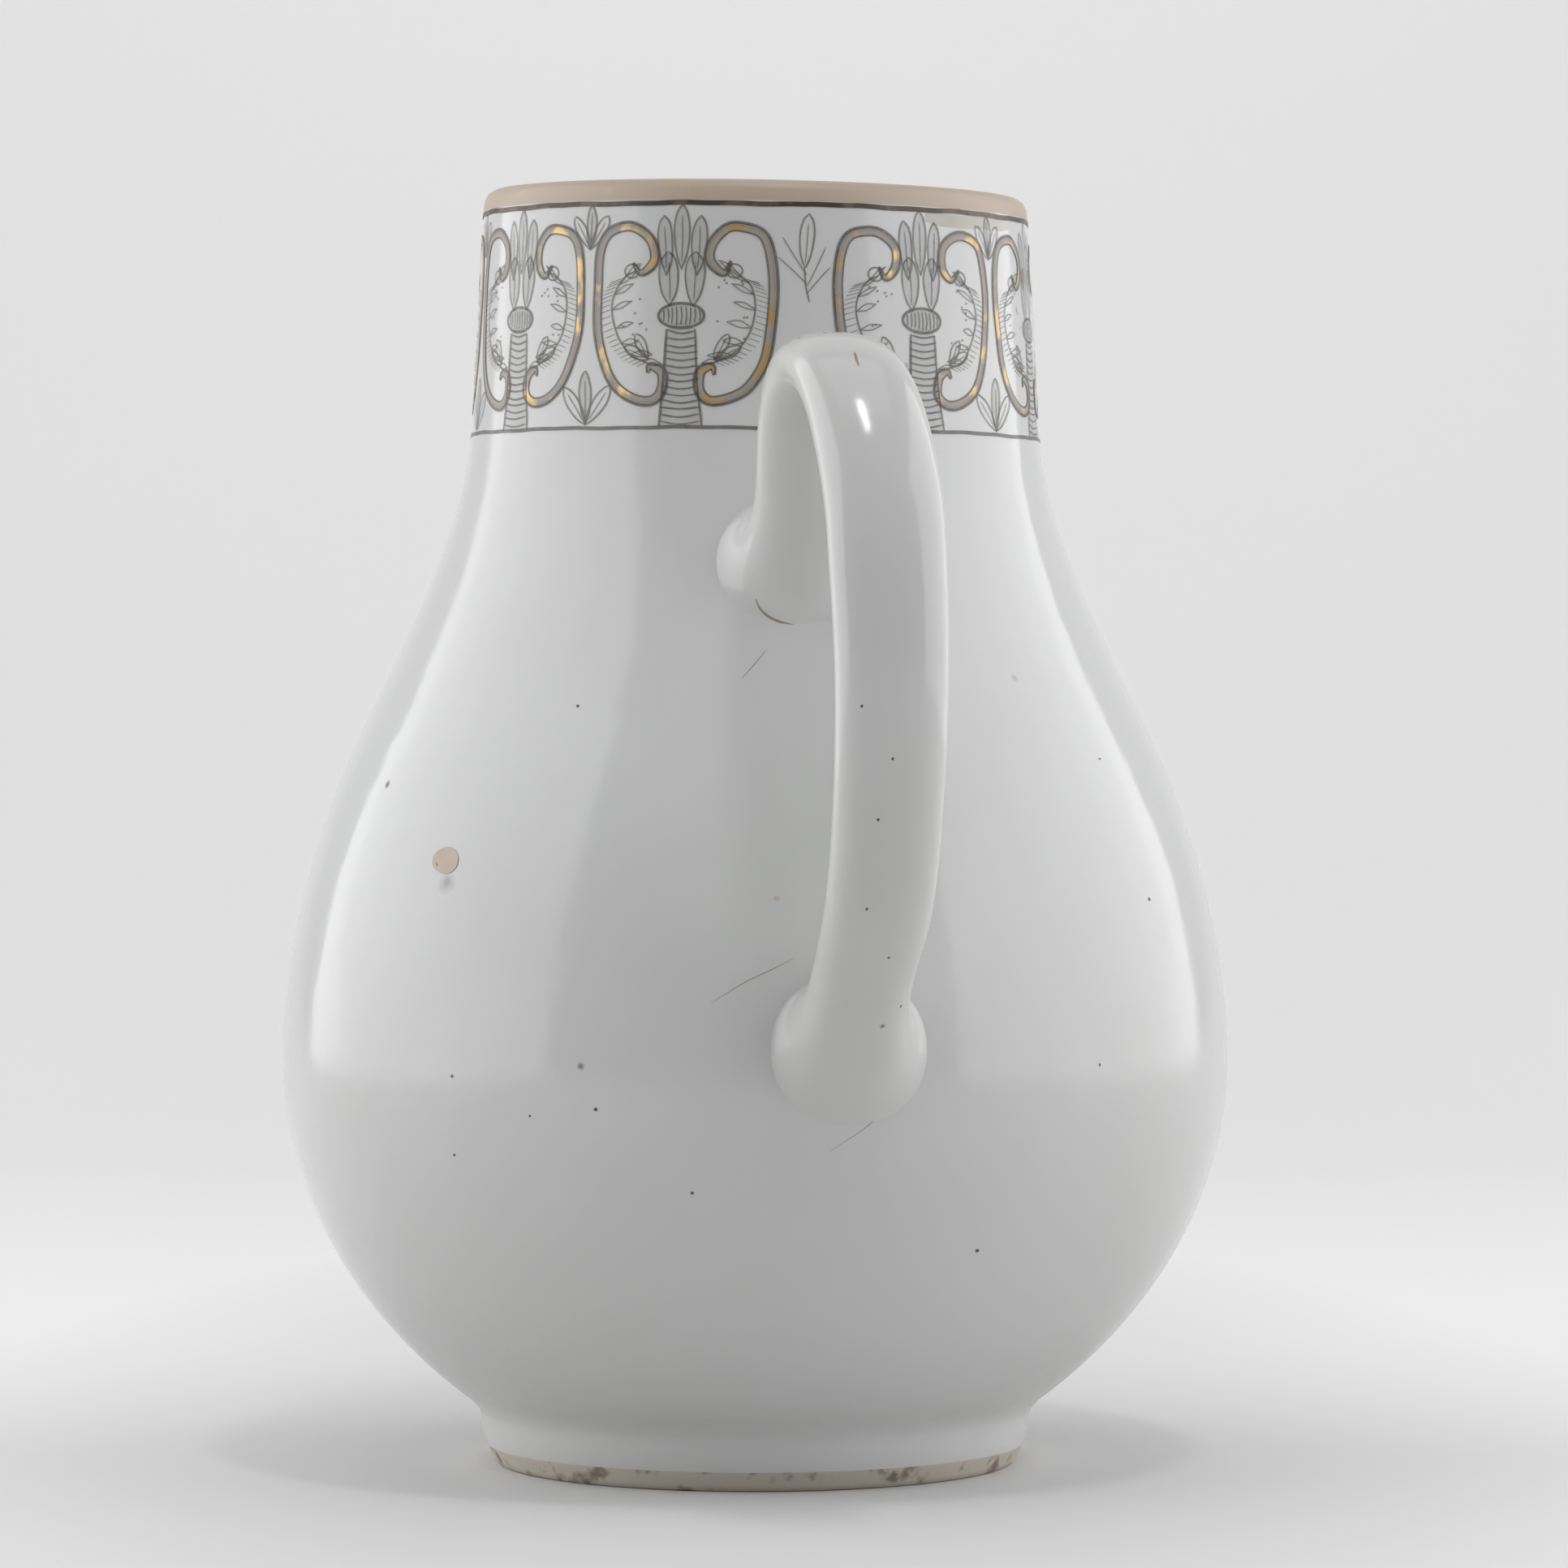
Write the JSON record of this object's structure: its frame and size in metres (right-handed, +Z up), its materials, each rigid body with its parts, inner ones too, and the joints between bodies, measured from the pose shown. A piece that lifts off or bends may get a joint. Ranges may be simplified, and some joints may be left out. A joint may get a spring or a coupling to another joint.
{
  "type": "porcelain jug",
  "caption": "Small baluster-shaped porcelain jug with a strap handle, a beak spout and a turned foot ring.",
  "frame": {"origin": "middle of the ground the jug covers, at the height it stands on; the body's axis lies off it, towards the spout", "axes": "+Z up, +X from the spout towards the handle, +Y across"},
  "size_m": [0.1053, 0.0852, 0.115],
  "materials": {
    "glaze": "glossy greyish white glaze",
    "bare_clay": "unglazed, fired beige"
  },
  "bodies": {
    "root": {"foot_ring": "bare_clay", "lower_body": "glaze", "belly_luting": "bare_clay", "upper_body": "glaze", "spout": "glaze", "handle": "glaze", "handle_upper_luting": "glaze", "handle_lower_luting": "glaze"}
  },
  "joints": []
}
